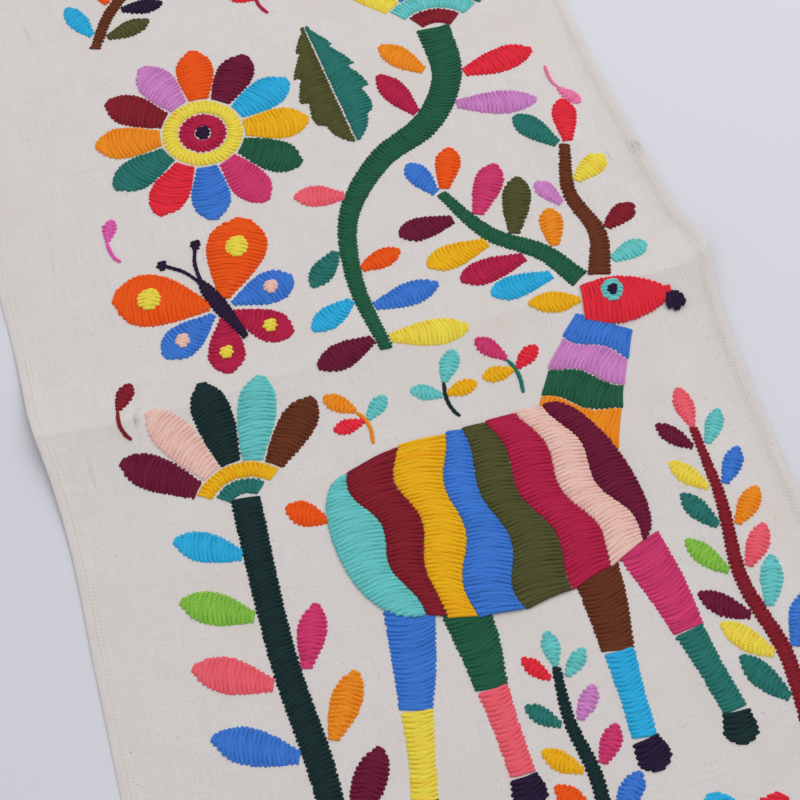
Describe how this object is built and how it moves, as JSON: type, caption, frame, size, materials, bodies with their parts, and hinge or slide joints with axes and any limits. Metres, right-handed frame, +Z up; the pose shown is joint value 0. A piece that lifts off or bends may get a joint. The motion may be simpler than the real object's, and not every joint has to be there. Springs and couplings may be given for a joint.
{
  "type": "embroidered cotton runner",
  "caption": "Long hemmed cotton runner with hand embroidery, laid out flat with a fold crease across its middle.",
  "frame": {"origin": "centre of the cloth's box, at the surface it lies on", "axes": "+Y along the cloth's length, +X across its width, +Z up from its underside"},
  "size_m": [0.4106, 1, 0.0111],
  "materials": {
    "unbleached_cotton": "matt plain weave"
  },
  "bodies": {
    "root": {"runner_cloth": "unbleached_cotton"}
  },
  "joints": []
}
